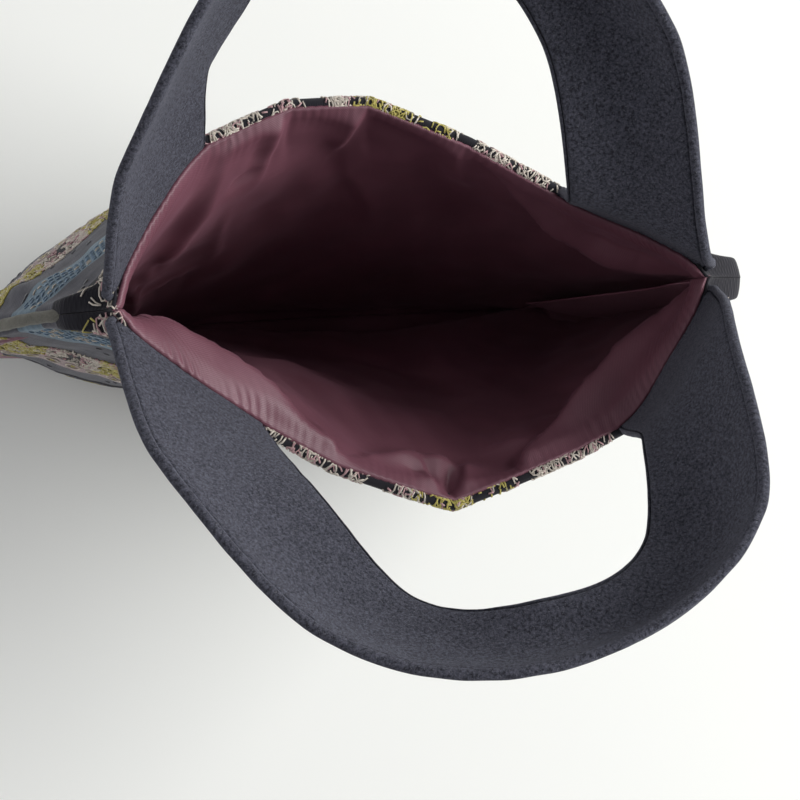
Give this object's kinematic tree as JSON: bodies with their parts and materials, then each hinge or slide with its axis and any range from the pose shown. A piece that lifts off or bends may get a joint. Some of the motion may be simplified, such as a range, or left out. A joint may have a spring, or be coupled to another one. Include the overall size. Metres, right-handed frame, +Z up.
{
  "type": "egg bag",
  "caption": "Egg-shaped cloth handbag standing open on its flat bottom, with a satin lining, piped side seams and two crescent handles.",
  "frame": {"origin": "on the floor plane, on the front panel's flat foot below the middle of the mouth", "axes": "+Z up, +X along the mouth from its left corner to its right one, -Y towards the front panel"},
  "size_m": [0.3424, 0.2438, 0.3067],
  "materials": {
    "embroidered_cloth": "charcoal cloth with raised thick-thread embroidery in yellow, cream pink, pale blue and black",
    "satin_lining": "burgundy satin twill, wrinkled, with a soft gloss",
    "handle_moleskin": "charcoal navy brushed moleskin, matt and napped",
    "piping_bias": "dark grey bias strip wrapped round a cord"
  },
  "bodies": {
    "root": {"front_panel": "embroidered_cloth", "back_panel": "embroidered_cloth", "front_lining": "satin_lining", "back_lining": "satin_lining", "front_handle_outer": "handle_moleskin", "front_handle_facing": "handle_moleskin", "back_handle_outer": "handle_moleskin", "back_handle_facing": "handle_moleskin", "seam_piping": "piping_bias"}
  },
  "joints": []
}
